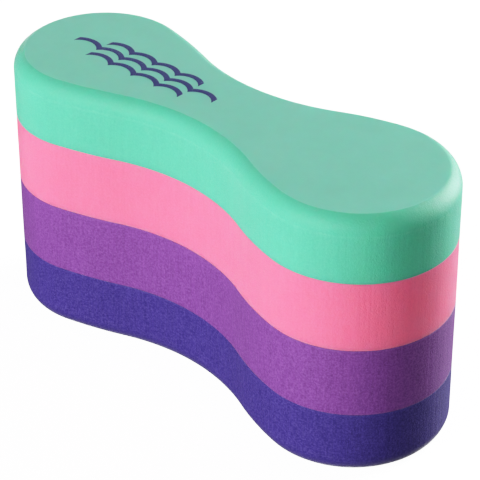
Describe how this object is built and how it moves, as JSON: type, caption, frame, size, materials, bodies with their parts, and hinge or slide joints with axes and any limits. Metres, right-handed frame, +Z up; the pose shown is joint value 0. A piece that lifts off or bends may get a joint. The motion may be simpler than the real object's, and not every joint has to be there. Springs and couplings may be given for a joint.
{
  "type": "pull buoy",
  "caption": "Figure-8 swimming leg float of bonded foam sheets in mint, pink, purple and indigo, with a narrow waist held between the thighs, rounded rims and flat faces.",
  "frame": {"origin": "centre of the flat base, on the ground plane", "axes": "+X along the float towards its larger lobe, +Y across the float, +Z up through the foam sheets"},
  "size_m": [0.23, 0.0848, 0.1251],
  "materials": {
    "mint_foam": "matt closed-cell EVA foam, smooth skin on top, fine cut grain on the side",
    "pink_foam": "matt closed-cell EVA foam, fine cut grain",
    "purple_foam": "matt closed-cell EVA foam, fine cut grain",
    "indigo_foam": "matt closed-cell EVA foam, fine cut grain",
    "adhesive": "dried contact adhesive, slightly glossy",
    "ink": "flexible screen-printed ink, satin"
  },
  "bodies": {
    "root": {"indigo_layer": "indigo_foam", "lower_bond_film": "adhesive", "purple_layer": "purple_foam", "middle_bond_film": "adhesive", "pink_layer": "pink_foam", "upper_bond_film": "adhesive", "mint_layer": "mint_foam", "printed_mark": "ink"}
  },
  "joints": []
}
